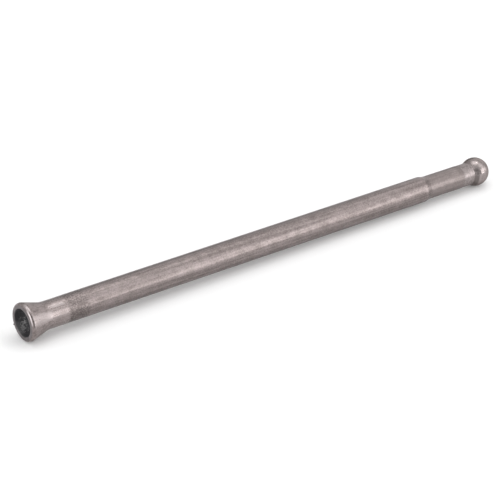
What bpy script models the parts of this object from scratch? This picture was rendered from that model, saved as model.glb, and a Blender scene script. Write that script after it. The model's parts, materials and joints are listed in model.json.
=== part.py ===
"""Engine pushrod: a seamless steel tube with a forged cup, and a ball end held in its swaged neck.

Lengths are in metres and +Z is up. +X runs from the cup to the ball. The rod lies on its side on the
plane z = 0, as it comes to rest on a bench: the land behind its rim and its ball touch the plane.
"""

import math

import bmesh
import bpy
from mathutils import Vector

# Whole rod: from the rim's face to the middle of the ball.
ROD_LENGTH = 0.2477

# Tube, before its ends are formed.
TUBE_DIAMETER = 0.0120
TUBE_WALL = 0.0025

# Cup: the tube's end is upset into a cone, and its socket is coined inside.
RIM_DIAMETER = 0.0168
RIM_ROUND = 0.0012
RIM_LAND = 0.0007
FLARE_LENGTH = 0.0100
FLARE_BLEND = 0.0097
SOCKET_DIAMETER = 0.0122
SOCKET_WALL = 0.0020
MOUTH_ROUND = 0.00035

# Neck: the tube's other end is swaged down onto the ball end's shank. The drop is its loss of diameter.
SWAGE_DROP = 0.00126
NECK_WALL = 0.0026
NECK_LENGTH = 0.0188
SHOULDER_ROUND = 0.0028
NECK_BLEND = 0.0110
NECK_END_ROUND = 0.00015

# Ball end: ball, collar and shank are one piece. The collar is turned a little under the neck's diameter.
BALL_DIAMETER = 0.0134
COLLAR_DROP = 0.00016
COLLAR_LENGTH = 0.0062
COLLAR_EDGE = 0.00015
BALL_FILLET = 0.0004
SHANK_LENGTH = 0.0180
SHANK_CHAMFER = 0.0006

# Gap that the model keeps between the ball end and the tube that grips it.
SEAT_GAP = 0.0003

# Facets: how many go round the rod, and how many degrees each one of a profile's arcs spans.
SIDES = 48
ARC_STEP = 12.0
BALL_STEP = 7.5

# Finish of bare steel, as linear colours.
TUBE_COLOUR = (0.30, 0.265, 0.26, 1.0)
BALL_COLOUR = (0.38, 0.34, 0.335, 1.0)

tube_radius = TUBE_DIAMETER / 2
bore_radius = tube_radius - TUBE_WALL
rim_radius = RIM_DIAMETER / 2
socket_radius = SOCKET_DIAMETER / 2
neck_radius = tube_radius - SWAGE_DROP / 2
neck_bore_radius = neck_radius - NECK_WALL
ball_radius = BALL_DIAMETER / 2
collar_radius = neck_radius - COLLAR_DROP / 2
shank_radius = neck_bore_radius - SEAT_GAP


def arc(centre_x, centre_r, radius, start, end, step=ARC_STEP):
    """Points (x, r) of an arc about (centre_x, centre_r), from the angle start to end in degrees."""
    count = max(2, math.ceil(abs(end - start) / step))
    angles = [math.radians(start + (end - start) * n / count) for n in range(count + 1)]
    return [(centre_x + radius * math.cos(a), centre_r + radius * math.sin(a)) for a in angles]


def s_bend(x, high, low, first_round, second_round, step):
    """An outline that starts level at (x, high), turns down and ends level at the radius low.

    Two arcs that meet on a common tangent make it, and the angle at which they meet follows from the drop.
    """
    turn = math.degrees(math.acos(1 - (high - low) / (first_round + second_round)))
    run = (first_round + second_round) * math.sin(math.radians(turn))
    down = arc(x, high - first_round, first_round, 90, 90 - turn, step)
    out = arc(x + run, low + second_round, second_round, 270 - turn, 270, step)
    return down + out[1:]


def collar_start():
    """Where the tube ends and the collar begins, less the gap between them."""
    ball_cut = math.sqrt(ball_radius**2 - collar_radius**2)
    return ROD_LENGTH - ball_cut - COLLAR_LENGTH


def cup_outside():
    """Outline of the cup from its flat rim to the plain tube: rounded edge, short land, cone and blend."""
    edge_end = RIM_ROUND + RIM_LAND
    slope = math.degrees(math.atan((rim_radius - tube_radius) / (FLARE_LENGTH - edge_end)))
    reach = FLARE_BLEND * math.tan(math.radians(slope / 2))
    edge = arc(RIM_ROUND, rim_radius - RIM_ROUND, RIM_ROUND, 180, 90, 15.0)
    blend_x = FLARE_LENGTH + reach
    blend = arc(blend_x, tube_radius + FLARE_BLEND, FLARE_BLEND, 270 - slope, 270, 4.0)
    return edge + [(edge_end, rim_radius)] + blend


def socket_inside():
    """Outline of the socket, from the bore out to the flat rim: ball seat, straight wall and rounded mouth."""
    meeting = math.degrees(math.asin(bore_radius / socket_radius))
    seat = arc(SOCKET_WALL, 0.0, socket_radius, meeting, 90, 9.0)
    mouth = arc(MOUTH_ROUND, socket_radius + MOUTH_ROUND, MOUTH_ROUND, 270, 180, 30.0)
    return seat + mouth


def tube_profile():
    """Closed outline of the tube: outside from the cup to the neck's end, and back through the bore."""
    end = collar_start() - SEAT_GAP
    shoulder = s_bend(0.0, tube_radius, neck_radius, SHOULDER_ROUND, NECK_BLEND, 3.5)
    shift = end - NECK_LENGTH - shoulder[-1][0]
    shoulder = [(x + shift, r) for x, r in shoulder]
    edge = arc(end - NECK_END_ROUND, neck_radius - NECK_END_ROUND, NECK_END_ROUND, 90, 0, 45.0)
    step_down = [(shoulder[-1][0], neck_bore_radius), (shoulder[0][0], bore_radius)]
    return cup_outside() + shoulder + edge + [(end, neck_bore_radius)] + step_down + socket_inside()


def ball_end_profile():
    """Outline of the ball end, from the ball's tip on the axis back to the shank's end on the axis."""
    # The fillet's middle lies BALL_FILLET outside both the ball and the collar.
    from_ball = ball_radius + BALL_FILLET
    fillet_r = collar_radius + BALL_FILLET
    fillet_x = ROD_LENGTH - math.sqrt(from_ball**2 - fillet_r**2)
    meeting = math.degrees(math.atan2(fillet_r, fillet_x - ROD_LENGTH))
    start = collar_start()
    ball = arc(ROD_LENGTH, 0.0, ball_radius, 0, 90, BALL_STEP)
    ball += arc(ROD_LENGTH, 0.0, ball_radius, 90, meeting, BALL_STEP)[1:]
    fillet = arc(fillet_x, fillet_r, BALL_FILLET, meeting - 180, -90, 30.0)[1:]
    edge = arc(start + COLLAR_EDGE, collar_radius - COLLAR_EDGE, COLLAR_EDGE, 90, 180, 45.0)
    back = start - SHANK_LENGTH
    shank = [
        (start, shank_radius),
        (back + SHANK_CHAMFER, shank_radius),
        (back, shank_radius - SHANK_CHAMFER),
        (back, 0.0),
    ]
    return ball + fillet + edge + shank


def steel(name, colour, roughness):
    """Bare steel with its own colour and gloss."""
    material = bpy.data.materials.new(name)
    material.use_nodes = True
    shader = material.node_tree.nodes["Principled BSDF"]
    shader.inputs["Base Color"].default_value = colour
    shader.inputs["Metallic"].default_value = 1.0
    shader.inputs["Roughness"].default_value = roughness
    material.diffuse_color = colour
    return material


def turned(name, profile, closed, material):
    """Spins an outline of (x, r) points once round the X axis, with a flat facet at the bottom."""
    half_step = math.pi / SIDES
    down = Vector((0.0, math.sin(half_step), -math.cos(half_step)))
    work = bmesh.new()
    verts = [work.verts.new(Vector((x, 0.0, 0.0)) + down * r) for x, r in profile]
    edges = [work.edges.new(pair) for pair in zip(verts, verts[1:])]
    if closed:
        edges.append(work.edges.new((verts[-1], verts[0])))
    bmesh.ops.spin(
        work,
        geom=verts + edges,
        cent=(0.0, 0.0, 0.0),
        axis=(1.0, 0.0, 0.0),
        angle=math.tau,
        steps=SIDES,
        use_merge=True,
    )
    bmesh.ops.remove_doubles(work, verts=work.verts, dist=1e-7)
    bmesh.ops.recalc_face_normals(work, faces=work.faces)
    mesh = bpy.data.meshes.new(name)
    work.to_mesh(mesh)
    work.free()
    mesh.shade_smooth()
    mesh.set_sharp_from_angle(angle=math.radians(30))
    mesh.materials.append(material)
    piece = bpy.data.objects.new(name, mesh)
    bpy.context.scene.collection.objects.link(piece)
    return piece


def resting_axis():
    """An empty on the rod's axis at the rim's face, set so that the rim's land and the ball touch z = 0."""
    flat = math.cos(math.pi / SIDES)
    land_end = RIM_ROUND + RIM_LAND
    lean = math.atan((rim_radius - ball_radius) * flat / (ROD_LENGTH - land_end))
    height = rim_radius * flat * math.cos(lean) + land_end * math.sin(lean)
    axis = bpy.data.objects.new("rod_axis", None)
    axis.rotation_euler = (0.0, lean, 0.0)
    axis.location = (-(ROD_LENGTH + ball_radius) / 2, 0.0, height)
    bpy.context.scene.collection.objects.link(axis)
    return axis


def main():
    for old in list(bpy.data.objects):
        bpy.data.objects.remove(old)
    axis = resting_axis()
    drawn_steel = steel("drawn_steel", TUBE_COLOUR, 0.38)
    ground_steel = steel("ground_steel", BALL_COLOUR, 0.28)
    tube = turned("pushrod_tube", tube_profile(), True, drawn_steel)
    ball_end = turned("ball_end", ball_end_profile(), False, ground_steel)
    for piece in (tube, ball_end):
        piece.parent = axis
    bpy.context.view_layer.update()


main()
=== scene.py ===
"""Engine pushrod, dressed for its photograph: a steel tube with a coined cup, and a ball end in its swaged neck.

Lengths are in metres unless a name says otherwise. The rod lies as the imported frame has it: +X runs from the cup
to the ball, +Z is up, and the land behind the rim and the ball touch the floor at z = 0.
"""

import json
import logging
import math
from dataclasses import dataclass, field
from enum import Enum

import bmesh
import bpy
from mathutils import Euler, Matrix, Vector, noise


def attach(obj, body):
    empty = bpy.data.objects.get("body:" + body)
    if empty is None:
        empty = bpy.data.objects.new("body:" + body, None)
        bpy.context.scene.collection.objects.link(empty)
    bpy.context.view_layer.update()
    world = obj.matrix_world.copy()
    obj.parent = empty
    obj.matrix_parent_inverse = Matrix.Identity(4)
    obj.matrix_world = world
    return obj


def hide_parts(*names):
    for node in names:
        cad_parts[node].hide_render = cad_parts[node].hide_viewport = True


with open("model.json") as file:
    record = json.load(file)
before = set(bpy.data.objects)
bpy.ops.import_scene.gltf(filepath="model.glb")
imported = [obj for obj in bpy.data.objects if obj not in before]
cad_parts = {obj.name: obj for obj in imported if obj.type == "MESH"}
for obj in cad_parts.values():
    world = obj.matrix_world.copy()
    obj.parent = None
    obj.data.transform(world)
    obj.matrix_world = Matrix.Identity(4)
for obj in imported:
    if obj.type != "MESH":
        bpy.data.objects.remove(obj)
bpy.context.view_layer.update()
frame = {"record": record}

log = logging.getLogger("pushrod")

MILLIMETRE = 0.001
PHOTO_WIDTH_PIXELS = 500
SENSOR_WIDTH_MM = 36.0


class Surface(Enum):
    """The differently finished surfaces of the tube, by their place among its materials."""

    OUTSIDE = 0
    RIM_FACE = 1
    SOCKET = 2


class BallSurface(Enum):
    """The differently finished surfaces of the ball end, by their place among its materials."""

    BALL = 0
    COLLAR = 1


@dataclass(frozen=True)
class RodAxis:
    """The rod's own frame: its start is the middle of the rim's face, and its x axis runs towards the ball."""

    start: Vector
    lean: float

    @classmethod
    def from_record(cls, record: dict) -> "RodAxis":
        """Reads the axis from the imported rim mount, which faces straight back along the rod.

        Args:
            record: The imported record.

        Returns:
            The rod's axis in the row's frame.
        """
        rim = next(mount for mount in record["mounts"] if mount["name"] == "cup_rim")
        x, _, z = rim["pos_m"]
        back_x, _, back_z = rim["axis"]
        return cls(Vector((x, 0.0, z)), math.atan2(back_z, -back_x))

    @property
    def turned(self) -> Euler:
        """The turn from the row's frame to the rod's own."""
        return Euler((0.0, self.lean, 0.0))

    @property
    def matrix(self) -> Matrix:
        """Takes a point of the rod's own frame to the row's frame."""
        return Matrix.Translation(self.start) @ self.turned.to_matrix().to_4x4()


class Outline:
    """A half section drawn with a pen: along the rod from the rim's face, and out from the rod's axis."""

    def __init__(self, along: float, out: float) -> None:
        """Sets the pen down.

        Args:
            along: Distance from the rim's face.
            out: Distance from the axis.
        """
        self.mesh = bmesh.new()
        self.tip = self.mesh.verts.new((along, 0.0, out))

    def line_to(self, along: float, out: float, cuts: int = 0) -> None:
        """Draws a straight run.

        Args:
            along: Where the run ends, from the rim's face.
            out: Where the run ends, from the axis.
            cuts: How many points divide the run.
        """
        start, end = self.tip.co.copy(), Vector((along, 0.0, out))
        for step in range(1, cuts + 2):
            self.tip = bmesh.ops.extrude_vert_indiv(self.mesh, verts=[self.tip])["verts"][0]
            self.tip.co = start.lerp(end, step / (cuts + 1))

    def arc(self, along: float, out: float, degrees: float, steps: int) -> None:
        """Draws an arc from the pen's place.

        Args:
            along: The arc's middle, from the rim's face.
            out: The arc's middle, from the axis.
            degrees: How far it turns, clockwise with the ball to the right.
            steps: How many straight runs make it.
        """
        made = bmesh.ops.spin(
            self.mesh,
            geom=[self.tip],
            cent=(along, 0.0, out),
            axis=(0.0, 1.0, 0.0),
            angle=math.radians(degrees),
            steps=steps,
        )
        self.tip = made["geom_last"][0]

    def turn(self, sides: int) -> bmesh.types.BMesh:
        """Spins the section once round the rod's axis.

        Args:
            sides: How many facets go round.

        Returns:
            The closed mesh in the rod's own frame.
        """
        bmesh.ops.remove_doubles(self.mesh, verts=self.mesh.verts, dist=1e-7)
        bmesh.ops.spin(
            self.mesh,
            geom=list(self.mesh.verts) + list(self.mesh.edges),
            cent=(0.0, 0.0, 0.0),
            axis=(1.0, 0.0, 0.0),
            angle=math.tau,
            steps=sides,
            use_merge=True,
        )
        bmesh.ops.remove_doubles(self.mesh, verts=self.mesh.verts, dist=1e-7)
        bmesh.ops.recalc_face_normals(self.mesh, faces=self.mesh.faces)
        return self.mesh


class NodeSheet:
    """Adds nodes to one node tree and links them."""

    def __init__(self, tree: bpy.types.NodeTree) -> None:
        """Takes the node tree to draw in.

        Args:
            tree: The tree of a material, a world or a group.
        """
        self.tree = tree

    def node(self, kind: str, inputs: dict | None = None, **settings: object) -> bpy.types.Node:
        """Adds a node.

        Args:
            kind: The node's type, without its common ShaderNode start.
            inputs: Values or sockets for its inputs, by name or number.
            settings: The node's own properties.

        Returns:
            The new node.
        """
        made = self.tree.nodes.new("ShaderNode" + kind)
        for name, value in settings.items():
            setattr(made, name, value)
        for key, value in (inputs or {}).items():
            if isinstance(value, bpy.types.NodeSocket):
                self.tree.links.new(value, made.inputs[key])
            else:
                made.inputs[key].default_value = value
        return made

    def math(self, operation: str, *values: object, clamp: bool = False) -> bpy.types.NodeSocket:
        """Adds a Math node.

        Args:
            operation: Its operation, such as ADD.
            values: Numbers or sockets, in the order of its inputs.
            clamp: Whether the result stays between 0 and 1.

        Returns:
            The result.
        """
        made = self.node("Math", dict(enumerate(values)), operation=operation, use_clamp=clamp)
        return made.outputs[0]

    def weighted(
        self, start: float, *terms: tuple[bpy.types.NodeSocket, float], clamp: bool = False
    ) -> bpy.types.NodeSocket:
        """Adds up masks, each times its own gain.

        Args:
            start: What the sum starts from.
            terms: Pairs of a mask and its gain.
            clamp: Whether the sum stays between 0 and 1.

        Returns:
            The sum.
        """
        total: object = start
        for number, (mask, gain) in enumerate(terms, start=1):
            total = self.math("MULTIPLY_ADD", mask, gain, total, clamp=clamp and number == len(terms))
        return total

    def noise(self, point: bpy.types.NodeSocket, size_mm: float, detail: float) -> bpy.types.NodeSocket:
        """Adds a noise of one grain size.

        Args:
            point: Where it is read, in millimetres.
            size_mm: The size of its grains.
            detail: How many finer layers it has.

        Returns:
            A value about 0.5, from 0 to 1.
        """
        made = self.node("TexNoise", {"Vector": point, "Scale": 1.0 / size_mm, "Detail": detail})
        return made.outputs["Fac"]

    def stretched(self, point: bpy.types.NodeSocket, factors: tuple[float, float, float]) -> bpy.types.NodeSocket:
        """Scales a point by its axes, so that a pattern read there runs along one of them.

        Args:
            point: The point.
            factors: One factor for each axis.

        Returns:
            The scaled point.
        """
        return self.node("VectorMath", {0: point, 1: factors}, operation="MULTIPLY").outputs[0]

    def between(self, value: bpy.types.NodeSocket, low: float, high: float) -> bpy.types.NodeSocket:
        """Eases from 0 to 1 as a value goes from low to high.

        Args:
            value: The value.
            low: Where the result is 0.
            high: Where the result is 1.

        Returns:
            The eased value.
        """
        made = self.node(
            "MapRange", {"Value": value, "From Min": low, "From Max": high}, interpolation_type="SMOOTHSTEP"
        )
        return made.outputs["Result"]

    def blended(self, factor: object, first: object, second: object, mode: str = "MIX") -> bpy.types.NodeSocket:
        """Mixes two colours.

        Args:
            factor: How much of the second shows.
            first: The first colour.
            second: The second colour.
            mode: The blend mode.

        Returns:
            The mixed colour.
        """
        made = self.node("Mix", {0: factor, 6: first, 7: second}, data_type="RGBA", blend_type=mode)
        return made.outputs[2]


def new_group(
    name: str, inputs: dict[str, str], outputs: dict[str, str]
) -> tuple[bpy.types.ShaderNodeTree, NodeSheet, bpy.types.Node, bpy.types.Node]:
    """Starts a shader node group.

    Args:
        name: The group's name.
        inputs: Its inputs, each with its socket type.
        outputs: Its outputs, each with its socket type.

    Returns:
        The group, a sheet on it, and its input and output nodes.
    """
    group = bpy.data.node_groups.new(name, "ShaderNodeTree")
    for label, kind in inputs.items():
        group.interface.new_socket(label, in_out="INPUT", socket_type=kind)
    for label, kind in outputs.items():
        group.interface.new_socket(label, in_out="OUTPUT", socket_type=kind)
    return group, NodeSheet(group), group.nodes.new("NodeGroupInput"), group.nodes.new("NodeGroupOutput")


NUMBER = "NodeSocketFloat"
VECTOR = "NodeSocketVector"


@dataclass
class SharedEffects:
    """Node groups that more than one finish uses."""

    axis: RodAxis
    place: bpy.types.ShaderNodeTree = field(init=False)
    grain: bpy.types.ShaderNodeTree = field(init=False)
    zone: bpy.types.ShaderNodeTree = field(init=False)
    side: bpy.types.ShaderNodeTree = field(init=False)
    lathe: bpy.types.ShaderNodeTree = field(init=False)

    def __post_init__(self) -> None:
        """Builds each group once."""
        self.place = self.rod_place()
        self.grain = self.steel_grain()
        self.zone = self.ring_zone()
        self.side = self.one_side()
        self.lathe = self.lathe_rings()

    def rod_place(self) -> bpy.types.ShaderNodeTree:
        """Builds the group that says where a point lies on the rod.

        Returns:
            A group that gives the point in the rod's own frame and its distance along it, in millimetres.
        """
        group, sheet, _, result = new_group("rod_place", {}, {"Point": VECTOR, "Along": NUMBER})
        seen = sheet.node("TexCoord").outputs["Object"]
        mapped = sheet.node("Mapping", {"Vector": seen}, vector_type="TEXTURE")
        mapped.inputs["Location"].default_value = self.axis.start
        mapped.inputs["Rotation"].default_value = self.axis.turned
        scaled = sheet.node("VectorMath", {0: mapped.outputs[0], "Scale": 1.0 / MILLIMETRE}, operation="SCALE")
        group.links.new(scaled.outputs[0], result.inputs["Point"])
        parts = sheet.node("SeparateXYZ", {0: scaled.outputs[0]})
        group.links.new(parts.outputs["X"], result.inputs["Along"])
        return group

    def steel_grain(self) -> bpy.types.ShaderNodeTree:
        """Builds the group that gives bare steel its mottled look.

        Returns:
            A group with masks for blotches, fine grain, streaks along the rod and sparse specks.
        """
        group, sheet, given, result = new_group(
            "steel_grain",
            {"Point": VECTOR, "Blotch Size": NUMBER, "Grain Size": NUMBER},
            {"Blotch": NUMBER, "Grain": NUMBER, "Streak": NUMBER, "Speck": NUMBER},
        )
        point = given.outputs["Point"]
        for label in ("Blotch", "Grain"):
            scale = sheet.math("DIVIDE", 1.0, given.outputs[label + " Size"])
            noise = sheet.node("TexNoise", {"Vector": point, "Scale": scale, "Detail": 3.0, "Roughness": 0.6})
            mask = sheet.between(noise.outputs["Fac"], 0.3, 0.7)
            group.links.new(mask, result.inputs[label])
        drawn = sheet.noise(sheet.stretched(point, (0.02, 1.0, 1.0)), 1.0, 3.0)
        group.links.new(sheet.between(drawn, 0.32, 0.68), result.inputs["Streak"])
        cells = sheet.node("TexVoronoi", {"Vector": point, "Scale": 0.4, "Randomness": 1.0})
        chosen = sheet.node("SeparateColor", {0: cells.outputs["Color"]})
        near = sheet.math("SUBTRACT", 1.0, sheet.between(cells.outputs["Distance"], 0.05, 0.12))
        rare = sheet.math("GREATER_THAN", chosen.outputs[0], 0.72)
        group.links.new(sheet.math("MULTIPLY", near, rare), result.inputs["Speck"])
        return group

    def ring_zone(self) -> bpy.types.ShaderNodeTree:
        """Builds the group that masks a stretch of the rod with ragged ends.

        Returns:
            A group that is 1 between two places along the rod and 0 beyond them.
        """
        group, sheet, given, result = new_group(
            "ring_zone",
            {"Point": VECTOR, "Along": NUMBER, "Start": NUMBER, "End": NUMBER, "Fade": NUMBER, "Ragged": NUMBER},
            {"Mask": NUMBER},
        )
        wobble = sheet.noise(given.outputs["Point"], 2.2, 3.0)
        shift = sheet.math("MULTIPLY", sheet.math("SUBTRACT", wobble, 0.5), given.outputs["Ragged"])
        along = sheet.math("ADD", given.outputs["Along"], shift)
        sides = []
        for label, direction in (("Start", 1.0), ("End", -1.0)):
            past = sheet.math("MULTIPLY", sheet.math("SUBTRACT", along, given.outputs[label]), direction)
            share = sheet.math("DIVIDE", past, given.outputs["Fade"])
            sides.append(sheet.between(share, -0.5, 0.5))
        group.links.new(sheet.math("MULTIPLY", *sides), result.inputs["Mask"])
        return group

    def one_side(self) -> bpy.types.ShaderNodeTree:
        """Builds the group that masks one side of the rod.

        Returns:
            A group that is 1 where the surface lies towards a direction and eases to 0 further round.
        """
        group, sheet, given, result = new_group(
            "one_side", {"Point": VECTOR, "Toward": VECTOR, "Edge": NUMBER, "Full": NUMBER}, {"Mask": NUMBER}
        )
        flat = sheet.stretched(given.outputs["Point"], (0.0, 1.0, 1.0))
        out = sheet.node("VectorMath", {0: flat}, operation="NORMALIZE").outputs[0]
        facing = sheet.node("VectorMath", {0: out, 1: given.outputs["Toward"]}, operation="DOT_PRODUCT")
        past = sheet.math("SUBTRACT", facing.outputs["Value"], given.outputs["Edge"])
        span = sheet.math("SUBTRACT", given.outputs["Full"], given.outputs["Edge"])
        mask = sheet.between(sheet.math("DIVIDE", past, span), 0.0, 1.0)
        group.links.new(mask, result.inputs["Mask"])
        return group

    def lathe_rings(self) -> bpy.types.ShaderNodeTree:
        """Builds the group for the fine rings that a lathe leaves.

        Returns:
            A group whose height runs in uneven rings along the rod.
        """
        group, sheet, given, result = new_group(
            "lathe_rings", {"Point": VECTOR, "Pitch": NUMBER}, {"Height": NUMBER}
        )
        scale = sheet.math("DIVIDE", 1.0, given.outputs["Pitch"])
        rings = sheet.stretched(given.outputs["Point"], (1.0, 0.03, 0.03))
        noise = sheet.node("TexNoise", {"Vector": rings, "Scale": scale, "Detail": 1.0})
        group.links.new(noise.outputs["Fac"], result.inputs["Height"])
        return group

    def use(self, sheet: NodeSheet, group: bpy.types.ShaderNodeTree, inputs: dict) -> bpy.types.bpy_prop_collection:
        """Places a group in a material.

        Args:
            sheet: The material's sheet.
            group: One of the groups above.
            inputs: Values or sockets for its inputs.

        Returns:
            The placed group's outputs.
        """
        placed = sheet.node("Group", {}, node_tree=group)
        for key, value in inputs.items():
            if isinstance(value, bpy.types.NodeSocket):
                sheet.tree.links.new(value, placed.inputs[key])
            else:
                placed.inputs[key].default_value = value
        return placed.outputs


def started_material(name: str, metallic: float) -> tuple[bpy.types.Material, NodeSheet, bpy.types.Node]:
    """Starts a material with a Principled shader.

    Args:
        name: The material's name.
        metallic: 1 for bare metal.

    Returns:
        The material, a sheet on its tree, and its shader.
    """
    material = bpy.data.materials.new(name)
    material.use_nodes = True
    shader = material.node_tree.nodes["Principled BSDF"]
    shader.inputs["Metallic"].default_value = metallic
    return material, NodeSheet(material.node_tree), shader


@dataclass(frozen=True)
class RingZone:
    """A stretch of the rod whose steel differs, in millimetres from the rim's face."""

    start_mm: float
    end_mm: float
    fade_mm: float
    ragged_mm: float

    def mask(
        self, effects: SharedEffects, sheet: NodeSheet, place: bpy.types.bpy_prop_collection
    ) -> bpy.types.NodeSocket:
        """Masks the stretch.

        Args:
            effects: The shared node groups.
            sheet: The material's sheet.
            place: The outputs of the rod's place group.

        Returns:
            The mask.
        """
        inputs = {
            "Point": place["Point"],
            "Along": place["Along"],
            "Start": self.start_mm,
            "End": self.end_mm,
            "Fade": self.fade_mm,
            "Ragged": self.ragged_mm,
        }
        return effects.use(sheet, effects.zone, inputs)["Mask"]


@dataclass(frozen=True)
class Patch:
    """A patch of the rod: a stretch along it, on the side that lies rise_degrees above the front."""

    zone: RingZone
    rise_degrees: float
    full_degrees: float
    edge_degrees: float

    def mask(
        self, effects: SharedEffects, sheet: NodeSheet, place: bpy.types.bpy_prop_collection
    ) -> bpy.types.NodeSocket:
        """Masks the patch.

        Args:
            effects: The shared node groups.
            sheet: The material's sheet.
            place: The outputs of the rod's place group.

        Returns:
            The mask.
        """
        rise = math.radians(self.rise_degrees)
        inputs = {
            "Point": place["Point"],
            "Toward": (0.0, -math.cos(rise), math.sin(rise)),
            "Edge": math.cos(math.radians(self.edge_degrees)),
            "Full": math.cos(math.radians(self.full_degrees)),
        }
        side = effects.use(sheet, effects.side, inputs)["Mask"]
        return sheet.math("MULTIPLY", self.zone.mask(effects, sheet, place), side)


@dataclass(frozen=True)
class DrawnSteel:
    """The tube's outside: satin drawn steel, mottled, with painted highlights and shade at the rim, and two rings
    behind the cup.

    The first ring is clean and the second one heat-tinted. The cup's cone keeps the fine rings of its turning,
    and the swaged neck is smoother and more matt. Highlights are painted on the cone and the clean ring, and shade
    in the shoulder's bend, at the neck's end and on the tinted ring's front side.
    """

    light: tuple[float, float, float, float] = (0.316, 0.271, 0.265, 1.0)
    dark: tuple[float, float, float, float] = (0.150, 0.125, 0.119, 1.0)
    tint: tuple[float, float, float, float] = (0.112, 0.095, 0.090, 1.0)
    smooth: tuple[float, float, float, float] = (0.233, 0.203, 0.196, 1.0)
    speck: tuple[float, float, float, float] = (0.09, 0.075, 0.07, 1.0)
    # Painted highlight colour, laid on the rim's edge and rounding, the ridge, the cone's side and a streak on the
    # clean ring.
    painted_highlight: tuple[float, float, float, float] = (0.66, 0.60, 0.60, 1.0)
    # Painted shade colour, laid in the crease, in the shoulder's bend and on the neck's upper side next to the ball
    # end.
    painted_shade: tuple[float, float, float, float] = (0.06, 0.05, 0.045, 1.0)
    roughness: float = 0.36
    grain_depth: float = 0.000010
    ring_depth: float = 3.0
    # Painted highlight along the rim's rounded edge.
    edge: Patch = Patch(RingZone(0.20, 0.62, 0.2, 0.2), 39.0, 14.0, 30.0)
    # Painted highlight on the rim's rounding, further round.
    shoulder: Patch = Patch(RingZone(0.55, 1.65, 0.4, 0.5), 72.0, 8.0, 20.0)
    # Painted highlight on the ridge behind the crease.
    ridge: Patch = Patch(RingZone(1.35, 1.85, 0.2, 0.3), 25.0, 12.0, 26.0)
    # Painted shade in the crease behind the rim.
    groove: Patch = Patch(RingZone(0.80, 1.20, 0.16, 0.3), 29.0, 12.0, 24.0)
    # Painted highlight on the cone's side.
    cheek: Patch = Patch(RingZone(2.4, 11.5, 2.4, 1.2), 25.0, 9.0, 25.0)
    # Painted highlight: a streak of light on the clean ring's upper front side.
    streak: Patch = Patch(RingZone(11.4, 18.2, 2.2, 3.0), 58.5, 1.5, 10.5)
    cone: RingZone = RingZone(1.7, 10.4, 0.8, 0.6)
    clean: RingZone = RingZone(10.6, 19.6, 2.0, 2.6)
    tinted: RingZone = RingZone(19.8, 29.5, 2.6, 4.0)
    shadowed: RingZone = RingZone(214.5, 217.2, 1.2, 0.5)
    swaged: RingZone = RingZone(217.4, 240.0, 1.6, 0.5)
    # Painted shade on the neck's upper side where it meets the ball end.
    neck_join_shade: Patch = Patch(RingZone(234.9, 240.0, 1.6, 0.8), 74.0, 24.0, 46.0)
    # Painted shade: heavier heat tint on the tinted ring's front side.
    tint_front_shade: Patch = Patch(RingZone(19.5, 30.0, 5.0, 7.0), -6.0, 6.0, 68.0)

    def material(self, effects: SharedEffects) -> bpy.types.Material:
        """Builds the material.

        Args:
            effects: The shared node groups.

        Returns:
            The material.
        """
        material, sheet, shader = started_material("drawn_steel_outside", 1.0)
        place = effects.use(sheet, effects.place, {})
        grain = effects.use(
            sheet, effects.grain, {"Point": place["Point"], "Blotch Size": 4.5, "Grain Size": 0.6}
        )
        rings = ("cone", "clean", "tinted", "shadowed", "swaged")
        names = ("edge", "shoulder", "ridge", "groove", "cheek", "streak", "neck_join_shade", "tint_front_shade") + rings
        where = {name: getattr(self, name).mask(effects, sheet, place) for name in names}
        share = sheet.weighted(
            -0.225,
            (grain["Blotch"], 0.3),
            (grain["Grain"], 0.65),
            (grain["Streak"], 0.5),
            (where["clean"], 0.36),
            (where["cone"], 0.22),
            (sheet.math("MULTIPLY", where["tinted"], grain["Grain"]), 0.25),
            clamp=True,
        )
        colour = sheet.blended(share, self.dark, self.light)
        # The heat tint, painted heavier on the ring's front side as shade.
        patchy = sheet.weighted(
            0.57, (grain["Blotch"], 0.35), (grain["Grain"], -0.8), (where["tint_front_shade"], 0.29)
        )
        patchy = sheet.math("MULTIPLY", where["tinted"], patchy, clamp=True)
        colour = sheet.blended(patchy, colour, self.tint)
        colour = sheet.blended(sheet.math("MULTIPLY", where["swaged"], 0.42), colour, self.smooth)
        colour = sheet.blended(grain["Speck"], colour, self.speck)
        # Painted highlights on the rim, the ridge, the cone and the clean ring.
        painted_highlight = sheet.weighted(
            0.0,
            (where["edge"], 0.9),
            (where["shoulder"], 0.45),
            (where["ridge"], 0.3),
            (where["cheek"], 0.2),
            (where["streak"], 0.2),
        )
        colour = sheet.blended(painted_highlight, colour, self.painted_highlight)
        # Painted shade in the crease, in the shoulder's bend and at the neck's end.
        painted_shade_share = sheet.weighted(
            0.0, (where["groove"], 0.5), (where["shadowed"], 0.2), (where["neck_join_shade"], 0.16)
        )
        colour = sheet.blended(painted_shade_share, colour, self.painted_shade)
        rough = sheet.weighted(
            self.roughness,
            (grain["Grain"], 0.06),
            (grain["Blotch"], -0.05),
            (where["clean"], -0.07),
            (where["tinted"], -0.02),
            (where["cone"], 0.05),
            (where["swaged"], 0.07),
        )
        rings = effects.use(sheet, effects.lathe, {"Point": place["Point"], "Pitch": 0.2})
        turned = sheet.math("MULTIPLY", where["cone"], rings["Height"])
        height = sheet.weighted(
            0.0, (grain["Grain"], 1.0), (grain["Streak"], 0.6), (grain["Speck"], -2.0), (turned, self.ring_depth)
        )
        bump = sheet.node("Bump", {"Strength": 1.0, "Distance": self.grain_depth, "Height": height})
        material.node_tree.links.new(colour, shader.inputs["Base Color"])
        material.node_tree.links.new(rough, shader.inputs["Roughness"])
        material.node_tree.links.new(bump.outputs[0], shader.inputs["Normal"])
        return material


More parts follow.
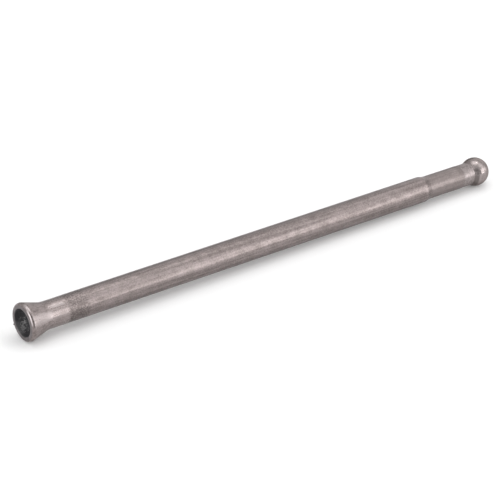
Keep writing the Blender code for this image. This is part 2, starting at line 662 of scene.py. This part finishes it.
@dataclass(frozen=True)
class CoinedFace:
    """The flat rim: pressed flat and rubbed bright in places."""

    light: tuple[float, float, float, float] = (0.255, 0.229, 0.232, 1.0)
    dark: tuple[float, float, float, float] = (0.12, 0.105, 0.108, 1.0)
    roughness: float = 0.40

    def material(self, effects: SharedEffects) -> bpy.types.Material:
        """Builds the material.

        Args:
            effects: The shared node groups.

        Returns:
            The material.
        """
        material, sheet, shader = started_material("coined_rim_face", 1.0)
        place = effects.use(sheet, effects.place, {})
        grain = effects.use(
            sheet, effects.grain, {"Point": place["Point"], "Blotch Size": 2.5, "Grain Size": 0.5}
        )
        share = sheet.weighted(0.0, (grain["Blotch"], 0.6), (grain["Grain"], 0.4))
        colour = sheet.blended(share, self.dark, self.light)
        rough = sheet.weighted(self.roughness, (grain["Grain"], 0.1))
        bump = sheet.node("Bump", {"Strength": 1.0, "Distance": 0.000006, "Height": grain["Grain"]})
        material.node_tree.links.new(colour, shader.inputs["Base Color"])
        material.node_tree.links.new(rough, shader.inputs["Roughness"])
        material.node_tree.links.new(bump.outputs[0], shader.inputs["Normal"])
        return material


@dataclass(frozen=True)
class SocketScale:
    """The socket and the bore: coated with dark scale from hardening, worn through in specks at the seat, and
    painted shade deep in the bore.
    """

    scale: tuple[float, float, float, float] = (0.075, 0.073, 0.078, 1.0)
    worn: tuple[float, float, float, float] = (0.46, 0.45, 0.45, 1.0)
    # Painted shade colour: near black, laid deep in the bore.
    deep_shade: tuple[float, float, float, float] = (0.022, 0.022, 0.024, 1.0)
    roughness: float = 0.55
    metallic: float = 0.3
    seat: Patch = Patch(RingZone(1.5, 4.8, 1.6, 1.6), -139.0, 16.0, 40.0)
    lip: Patch = Patch(RingZone(0.2, 2.4, 0.4, 0.8), -132.0, 18.0, 36.0)
    # Where the painted shade deep in the bore lies.
    deep: RingZone = RingZone(5.0, 60.0, 1.4, 1.0)

    def material(self, effects: SharedEffects) -> bpy.types.Material:
        """Builds the material.

        Args:
            effects: The shared node groups.

        Returns:
            The material.
        """
        material, sheet, shader = started_material("socket_scale", self.metallic)
        place = effects.use(sheet, effects.place, {})
        grain = effects.use(
            sheet, effects.grain, {"Point": place["Point"], "Blotch Size": 1.6, "Grain Size": 0.4}
        )
        seat = self.seat.mask(effects, sheet, place)
        share = sheet.weighted(0.10, (seat, 1.0))
        specks = sheet.between(sheet.math("MULTIPLY", grain["Grain"], grain["Blotch"]), 0.12, 0.75)
        lip = self.lip.mask(effects, sheet, place)
        worn = sheet.math("MULTIPLY_ADD", lip, 0.22, sheet.math("MULTIPLY", specks, share), clamp=True)
        colour = sheet.blended(worn, self.scale, self.worn)
        # Painted shade deep in the bore.
        deep_shade_share = sheet.weighted(0.0, (self.deep.mask(effects, sheet, place), 0.9))
        colour = sheet.blended(deep_shade_share, colour, self.deep_shade)
        rough = sheet.weighted(self.roughness, (grain["Grain"], -0.15))
        bump = sheet.node("Bump", {"Strength": 1.0, "Distance": 0.00002, "Height": grain["Grain"]})
        material.node_tree.links.new(colour, shader.inputs["Base Color"])
        material.node_tree.links.new(rough, shader.inputs["Roughness"])
        material.node_tree.links.new(bump.outputs[0], shader.inputs["Normal"])
        return material


@dataclass(frozen=True)
class TurnedSteel:
    """Hardened steel of the ball end: fine lathe rings, or ground almost smooth, with painted shade where the ball
    meets the collar and at the collar's start.
    """

    name: str
    light: tuple[float, float, float, float]
    dark: tuple[float, float, float, float]
    roughness: float
    ring_depth: float
    glancing: tuple[float, float, float, float] = (0.85, 0.83, 0.82, 1.0)
    # Painted shade colour, laid where the ball meets the collar and at the collar's start.
    painted_shade: tuple[float, float, float, float] = (0.07, 0.06, 0.055, 1.0)
    # Painted shade on the lower front side where the ball meets the collar.
    below: Patch = Patch(RingZone(243.2, 245.4, 0.8, 0.6), -18.0, 22.0, 42.0)
    # Painted shade on top where the ball meets the collar.
    above: Patch = Patch(RingZone(243.2, 244.8, 0.8, 0.6), 93.0, 15.0, 38.0)
    # Painted shade on the upper front side at the collar's start, next to the tube's neck.
    neck_join_shade: Patch = Patch(RingZone(236.0, 240.4, 1.4, 0.8), 57.0, 12.0, 36.0)

    def material(self, effects: SharedEffects) -> bpy.types.Material:
        """Builds the material.

        Args:
            effects: The shared node groups.

        Returns:
            The material.
        """
        material, sheet, shader = started_material(self.name, 1.0)
        shader.inputs["Specular Tint"].default_value = self.glancing
        place = effects.use(sheet, effects.place, {})
        grain = effects.use(
            sheet, effects.grain, {"Point": place["Point"], "Blotch Size": 3.0, "Grain Size": 0.6}
        )
        rings = effects.use(sheet, effects.lathe, {"Point": place["Point"], "Pitch": 0.35})
        share = sheet.weighted(
            -0.15, (grain["Blotch"], 0.4), (grain["Grain"], 0.6), (rings["Height"], 0.3), clamp=True
        )
        colour = sheet.blended(share, self.dark, self.light)
        # Painted shade where the ball meets the collar and at the collar's start.
        painted_shade_share = sheet.weighted(
            0.0,
            (self.below.mask(effects, sheet, place), 0.6),
            (self.above.mask(effects, sheet, place), 0.3),
            (self.neck_join_shade.mask(effects, sheet, place), 0.22),
        )
        colour = sheet.blended(painted_shade_share, colour, self.painted_shade)
        rough = sheet.weighted(self.roughness, (grain["Grain"], 0.06), (rings["Height"], 0.05))
        height = sheet.weighted(0.0, (rings["Height"], 1.0), (grain["Grain"], 1.5))
        bump = sheet.node("Bump", {"Strength": 1.0, "Distance": self.ring_depth, "Height": height})
        material.node_tree.links.new(colour, shader.inputs["Base Color"])
        material.node_tree.links.new(rough, shader.inputs["Roughness"])
        material.node_tree.links.new(bump.outputs[0], shader.inputs["Normal"])
        return material


def finished_piece(
    name: str, work: bmesh.types.BMesh, axis: RodAxis, materials: list[bpy.types.Material]
) -> bpy.types.Object:
    """Moves a turned mesh to its place and makes an object of it.

    Args:
        name: The piece's name.
        work: The mesh in the rod's own frame.
        axis: Where the rod lies.
        materials: The piece's materials, in the order of its surfaces.

    Returns:
        The piece, which rides on the part's only body.
    """
    work.transform(axis.matrix)
    mesh = bpy.data.meshes.new(name)
    work.to_mesh(mesh)
    work.free()
    mesh.shade_smooth()
    mesh.set_sharp_from_angle(angle=math.radians(35))
    for material in materials:
        mesh.materials.append(material)
    piece = bpy.data.objects.new(name, mesh)
    bpy.context.scene.collection.objects.link(piece)
    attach(piece, "root")
    return piece


@dataclass
class CupTube:
    """The tube with its cup and its swaged neck, one piece of metal."""

    length: float = 0.23736
    tube_radius: float = 0.0060
    bore_radius: float = 0.0035
    rim_radius: float = 0.0084
    rim_round: float = 0.0012
    rim_land: float = 0.0007
    crease_turn: float = 72.0
    crease_depth: float = 0.00012
    crease_width: float = 0.00024
    crease_breaks: float = 0.1
    ridge_height: float = 0.00003
    burr_turn: float = -28.0
    burr_width: float = 2.2
    burr_height: float = 0.0004
    flare_length: float = 0.0100
    flare_blend: float = 0.0097
    socket_radius: float = 0.0061
    socket_wall: float = 0.0020
    mouth_round: float = 0.00035
    neck_radius: float = 0.00537
    neck_bore_radius: float = 0.00277
    neck_length: float = 0.01907
    shoulder_round: float = 0.0028
    neck_blend: float = 0.0110
    neck_end_round: float = 0.00008
    sides: int = 360

    def flare(self, pen: Outline) -> None:
        """Draws the rim's rounded edge, its land, the crease behind it, the cone and the blend into the tube.

        Args:
            pen: A pen on the inner edge of the flat rim.
        """
        edge_end = self.rim_round + self.rim_land
        slope = math.atan((self.rim_radius - self.tube_radius) / (self.flare_length - edge_end))
        blend_along = self.flare_length + self.flare_blend * math.tan(slope / 2)
        blend_out = self.tube_radius + self.flare_blend
        pen.line_to(0.0, self.rim_radius - self.rim_round, cuts=5)
        pen.arc(self.rim_round, self.rim_radius - self.rim_round, self.crease_turn, 16)
        start, out = pen.tip.co.x, pen.tip.co.z
        pen.line_to(start + self.crease_width * 0.4, out - self.crease_depth, cuts=1)
        pen.line_to(start + self.crease_width, self.rim_radius, cuts=1)
        pen.line_to(self.rim_round + self.rim_land / 2, self.rim_radius + self.ridge_height, cuts=1)
        pen.line_to(edge_end, self.rim_radius, cuts=1)
        cone_end = blend_along - self.flare_blend * math.sin(slope)
        pen.line_to(cone_end, blend_out - self.flare_blend * math.cos(slope), cuts=7)
        pen.arc(blend_along, blend_out, -math.degrees(slope), 8)

    def shoulder(self, pen: Outline) -> float:
        """Draws the plain tube and the S-shaped bend down to the neck.

        Args:
            pen: A pen on the plain tube.

        Returns:
            Where the bend starts, from the rim's face.
        """
        drop = self.tube_radius - self.neck_radius
        turn = math.acos(1 - drop / (self.shoulder_round + self.neck_blend))
        run = (self.shoulder_round + self.neck_blend) * math.sin(turn)
        start = self.length - self.neck_length - run
        degrees = math.degrees(turn)
        pen.line_to(start, self.tube_radius, cuts=40)
        pen.arc(start, self.tube_radius - self.shoulder_round, degrees, 6)
        pen.arc(start + run, self.neck_radius + self.neck_blend, -degrees, 10)
        return start

    def inside(self, pen: Outline, step: float) -> None:
        """Draws the neck's end and the way back: neck bore, bore, ball seat, socket wall and mouth.

        Args:
            pen: A pen at the start of the neck.
            step: Where the wider bore ends, from the rim's face.
        """
        round_start = self.length - self.neck_end_round
        pen.line_to(round_start, self.neck_radius, cuts=10)
        pen.arc(round_start, self.neck_radius - self.neck_end_round, 90, 4)
        pen.line_to(self.length, self.neck_bore_radius)
        pen.line_to(self.length - self.neck_length, self.neck_bore_radius)
        pen.line_to(step, self.bore_radius)
        seat_depth = math.sqrt(self.socket_radius**2 - self.bore_radius**2)
        pen.line_to(self.socket_wall + seat_depth, self.bore_radius, cuts=20)
        around = math.degrees(math.acos(self.bore_radius / self.socket_radius))
        pen.arc(self.socket_wall, 0.0, -around, 14)
        pen.line_to(self.mouth_round, self.socket_radius, cuts=2)
        pen.arc(self.mouth_round, self.socket_radius + self.mouth_round, 90, 6)

    def surface_of(self, face: bmesh.types.BMFace) -> Surface:
        """Says which surface a face belongs to.

        Args:
            face: A face in the rod's own frame.

        Returns:
            Its surface.
        """
        middle = face.calc_center_median()
        out = math.hypot(middle.y, middle.z)
        if out < self.socket_radius + self.mouth_round / 2 and middle.x < self.length / 2 and face.normal.x < 0.1:
            inward = face.normal.y * middle.y + face.normal.z * middle.z < 0
            if inward or out < self.tube_radius - MILLIMETRE:
                return Surface.SOCKET
        if face.normal.x < -0.9 and middle.x < self.rim_round:
            return Surface.RIM_FACE
        return Surface.OUTSIDE

    def break_crease(self, work: bmesh.types.BMesh) -> None:
        """Fills the crease behind the rim up here and there, as a pressed mark runs out.

        Args:
            work: The mesh in the rod's own frame.
        """
        round_out = self.rim_radius - self.rim_round
        for vert in work.verts:
            out = math.hypot(vert.co.y, vert.co.z)
            if not 0 < vert.co.x < self.rim_round or out < round_out + self.rim_round / 2:
                continue
            full = round_out + math.sqrt(self.rim_round**2 - (self.rim_round - vert.co.x) ** 2)
            around = Vector((0.0, vert.co.y, vert.co.z)) / out
            filled = min(1.0, max(0.0, 0.5 + 3 * (noise.noise(around * 9) - self.crease_breaks)))
            if full > out:
                vert.co += around * (full - out) * filled

    def raise_burr(self, work: bmesh.types.BMesh) -> None:
        """Lifts a small burr on the rim's rounded edge, with the dent that it was torn from beside it.

        Args:
            work: The mesh in the rod's own frame.
        """
        middle = self.rim_radius - self.rim_round * 0.7
        for vert in work.verts:
            if vert.co.x > self.rim_round:
                continue
            out = math.hypot(vert.co.y, vert.co.z)
            off = (math.degrees(math.atan2(vert.co.z, vert.co.y)) - self.burr_turn) / self.burr_width
            for shift, height in ((0.0, 1.0), (-self.rim_round * 0.7, -0.6)):
                near = (out - middle - shift) / (self.rim_round * 0.3)
                lift = self.burr_height * height * math.exp(-(off**2) - near**2)
                vert.co.x -= lift * 0.7
                vert.co.y += lift * vert.co.y / out
                vert.co.z += lift * vert.co.z / out

    def build(self, axis: RodAxis, materials: list[bpy.types.Material]) -> bpy.types.Object:
        """Builds the piece.

        Args:
            axis: Where the rod lies.
            materials: Its materials, in the order of Surface.

        Returns:
            The piece.
        """
        pen = Outline(0.0, self.socket_radius + self.mouth_round)
        self.flare(pen)
        step = self.shoulder(pen)
        self.inside(pen, step)
        work = pen.turn(self.sides)
        self.break_crease(work)
        self.raise_burr(work)
        for face in work.faces:
            face.material_index = self.surface_of(face).value
        piece = finished_piece("coined_tube", work, axis, materials)
        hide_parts("pushrod_tube")
        return piece


@dataclass
class BallEnd:
    """Ball, collar and shank, turned from one bar."""

    ball_along: float = 0.2477
    ball_radius: float = 0.0067
    ball_fillet: float = 0.0004
    collar_radius: float = 0.00529
    collar_length: float = 0.0062
    collar_edge: float = 0.00006
    shank_radius: float = 0.00247
    shank_length: float = 0.0180
    shank_chamfer: float = 0.0006
    sides: int = 256

    def build(self, axis: RodAxis, materials: list[bpy.types.Material]) -> bpy.types.Object:
        """Builds the piece.

        Args:
            axis: Where the rod lies.
            materials: Its materials, in the order of BallSurface.

        Returns:
            The piece.
        """
        start = self.ball_along - math.sqrt(self.ball_radius**2 - self.collar_radius**2) - self.collar_length
        fillet_out = self.collar_radius + self.ball_fillet
        fillet_back = math.sqrt((self.ball_radius + self.ball_fillet) ** 2 - fillet_out**2)
        around = math.degrees(math.atan2(fillet_out, -fillet_back))
        pen = Outline(self.ball_along + self.ball_radius, 0.0)
        pen.arc(self.ball_along, 0.0, -around, 60)
        pen.arc(self.ball_along - fillet_back, fillet_out, around - 90, 6)
        pen.line_to(start + self.collar_edge, self.collar_radius, cuts=12)
        pen.arc(start + self.collar_edge, self.collar_radius - self.collar_edge, -90, 4)
        pen.line_to(start, self.shank_radius)
        back = start - self.shank_length
        pen.line_to(back + self.shank_chamfer, self.shank_radius, cuts=4)
        pen.line_to(back, self.shank_radius - self.shank_chamfer)
        pen.line_to(back, 0.0)
        work = pen.turn(self.sides)
        collar_end = self.ball_along - fillet_back
        for face in work.faces:
            on_ball = face.calc_center_median().x > collar_end
            face.material_index = (BallSurface.BALL if on_ball else BallSurface.COLLAR).value
        piece = finished_piece("ball_stud", work, axis, materials)
        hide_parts("ball_end")
        return piece


@dataclass(frozen=True)
class Softbox:
    """A rectangular lamp that faces the rod."""

    name: str
    direction: tuple[float, float, float]
    distance: float
    width: float
    height: float
    radiance: float

    def build(self, target: Vector) -> bpy.types.Object:
        """Hangs the lamp.

        Args:
            target: The point that it faces.

        Returns:
            The lamp.
        """
        lamp = bpy.data.lights.new(self.name, "AREA")
        lamp.shape = "RECTANGLE"
        lamp.size = self.width
        lamp.size_y = self.height
        lamp.energy = self.radiance * math.pi * self.width * self.height
        hung = bpy.data.objects.new(self.name, lamp)
        toward = Vector(self.direction).normalized()
        hung.location = target + toward * self.distance
        hung.rotation_euler = toward.to_track_quat("Z", "Y").to_euler()
        bpy.context.scene.collection.objects.link(hung)
        return hung


@dataclass(frozen=True)
class SkyZone:
    """A round part of the surroundings with its own brightness."""

    direction: tuple[float, float, float]
    inner_degrees: float
    outer_degrees: float
    brightness: float


@dataclass
class Studio:
    """A plain pale floor, soft light from all round, and the camera."""

    floor_size: float = 12.0
    floor_colour: tuple[float, float, float, float] = (0.8, 0.8, 0.8, 1.0)
    floor_lift: float = 0.12
    sky: float = 0.97
    zones: tuple[SkyZone, ...] = (
        SkyZone((-0.30, -0.84, 0.45), 18.0, 32.0, 0.4),
        SkyZone((0.00, -0.96, 0.26), 10.0, 22.0, 0.52),
        SkyZone((-0.60, -0.78, 0.12), 12.0, 30.0, 0.7),
        SkyZone((0.40, 0.70, 0.58), 16.0, 36.0, 0.84),
        SkyZone((0.42, 0.90, 0.12), 10.0, 28.0, 0.5),
        SkyZone((0.80, 0.50, 0.33), 8.0, 24.0, 1.25),
    )
    lamps: tuple[Softbox, ...] = (
        Softbox("key_softbox", (0.57, -0.75, 0.34), 2.4, 1.3, 0.9, 2.0),
        Softbox("low_softbox", (0.58, -0.81, 0.065), 2.4, 1.1, 0.27, 4.2),
        Softbox("high_softbox", (0.56, -0.41, 0.72), 2.4, 1.2, 1.6, 0.72),
        Softbox("strip_softbox", (0.41, 0.04, 0.90), 2.4, 0.2, 0.45, 6.5),
        Softbox("overhead_softbox", (0.12, 0.18, 0.97), 2.4, 1.5, 1.5, 1.3),
        Softbox("side_softbox", (0.91, -0.40, 0.18), 2.4, 0.8, 0.8, 1.3),
        Softbox("left_softbox", (-0.80, -0.36, 0.50), 2.4, 0.9, 2.0, 1.5),
    )
    azimuth_degrees: float = -36.7027
    elevation_degrees: float = 27.485
    focal_pixels: float = 2200.52
    rim_depth: float = 0.90085
    rim_pixel: tuple[float, float] = (22.081, 323.222)

    def floor(self) -> bpy.types.Object:
        """Lays the floor.

        Returns:
            The floor, which isn't part of the object.
        """
        work = bmesh.new()
        bmesh.ops.create_grid(work, x_segments=1, y_segments=1, size=self.floor_size / 2)
        mesh = bpy.data.meshes.new("floor")
        work.to_mesh(mesh)
        work.free()
        material, sheet, shader = started_material("plain_floor", 0.0)
        shader.inputs["Base Color"].default_value = self.floor_colour
        shader.inputs["Roughness"].default_value = 0.9
        shader.inputs["Specular IOR Level"].default_value = 0.0
        shader.inputs["Emission Color"].default_value = (1.0, 1.0, 1.0, 1.0)
        ray = sheet.node("LightPath").outputs
        seen = sheet.math("MAXIMUM", ray["Is Camera Ray"], ray["Is Glossy Ray"])
        seen = sheet.math("MAXIMUM", seen, ray["Is Transmission Ray"])
        lift = sheet.math("MULTIPLY", seen, self.floor_lift)
        material.node_tree.links.new(lift, shader.inputs["Emission Strength"])
        mesh.materials.append(material)
        floor = bpy.data.objects.new("floor", mesh)
        floor.location.z = -0.00005
        bpy.context.scene.collection.objects.link(floor)
        return floor

    def surroundings(self) -> bpy.types.World:
        """Makes the soft light from all round.

        Returns:
            The world.
        """
        world = bpy.data.worlds.new("soft_surroundings")
        world.use_nodes = True
        sheet = NodeSheet(world.node_tree)
        looked = sheet.node("TexCoord").outputs["Generated"]
        brightness: object = self.sky
        for zone in self.zones:
            direction = Vector(zone.direction).normalized()
            facing = sheet.node("VectorMath", {0: looked, 1: direction}, operation="DOT_PRODUCT").outputs["Value"]
            outer = math.cos(math.radians(zone.outer_degrees))
            inner = math.cos(math.radians(zone.inner_degrees))
            mask = sheet.between(facing, outer, inner)
            made = sheet.node("Mix", {0: mask, 2: brightness, 3: zone.brightness}, data_type="FLOAT")
            brightness = made.outputs[0]
        background = world.node_tree.nodes["Background"]
        world.node_tree.links.new(brightness, background.inputs["Color"])
        bpy.context.scene.world = world
        return world

    def camera(self, axis: RodAxis) -> bpy.types.Object:
        """Sets the camera up so that the rim's face falls on its pixel of the photograph.

        Args:
            axis: Where the rod lies.

        Returns:
            The camera.
        """
        turn, rise = math.radians(self.azimuth_degrees), math.radians(self.elevation_degrees)
        back = Vector((math.sin(turn) * math.cos(rise), -math.cos(turn) * math.cos(rise), math.sin(rise)))
        right = Vector((math.cos(turn), math.sin(turn), 0.0))
        up = back.cross(right)
        middle = PHOTO_WIDTH_PIXELS / 2
        across = (self.rim_pixel[0] - middle) / self.focal_pixels * self.rim_depth
        above = (middle - self.rim_pixel[1]) / self.focal_pixels * self.rim_depth
        lens = bpy.data.cameras.new("photo_camera")
        lens.sensor_width = SENSOR_WIDTH_MM
        lens.lens = self.focal_pixels / PHOTO_WIDTH_PIXELS * SENSOR_WIDTH_MM
        lens.clip_start = 0.01
        camera = bpy.data.objects.new("photo_camera", lens)
        camera.location = axis.start - right * across - up * above + back * self.rim_depth
        camera.rotation_euler = Matrix((right, up, back)).transposed().to_euler()
        bpy.context.scene.collection.objects.link(camera)
        bpy.context.scene.camera = camera
        return camera

    def build(self, axis: RodAxis) -> None:
        """Builds the floor, the light and the camera.

        Args:
            axis: Where the rod lies.
        """
        self.floor()
        self.surroundings()
        for lamp in self.lamps:
            lamp.build(Vector((0.0, 0.0, 0.0)))
        self.camera(axis)
        bpy.context.scene.view_settings.view_transform = "Standard"


def main() -> None:
    """Builds the pieces and the studio in order."""
    logging.basicConfig(level=logging.INFO, format="%(name)s: %(message)s")
    axis = RodAxis.from_record(frame["record"])
    effects = SharedEffects(axis)
    tube_finishes = [DrawnSteel(), CoinedFace(), SocketScale()]
    ball = TurnedSteel(
        name="ground_ball",
        light=(0.374, 0.328, 0.322, 1.0),
        dark=(0.253, 0.220, 0.214, 1.0),
        roughness=0.17,
        ring_depth=0.000001,
        glancing=(0.5, 0.48, 0.47, 1.0),
    )
    collar = TurnedSteel(
        name="turned_collar",
        light=(0.403, 0.355, 0.350, 1.0),
        dark=(0.192, 0.168, 0.164, 1.0),
        roughness=0.33,
        ring_depth=0.000005,
    )
    pieces = [
        CupTube().build(axis, [finish.material(effects) for finish in tube_finishes]),
        BallEnd().build(axis, [finish.material(effects) for finish in (ball, collar)]),
    ]
    for piece in pieces:
        log.info("%s: %d faces", piece.name, len(piece.data.polygons))
    Studio().build(axis)


if __name__ == "__main__":
    main()
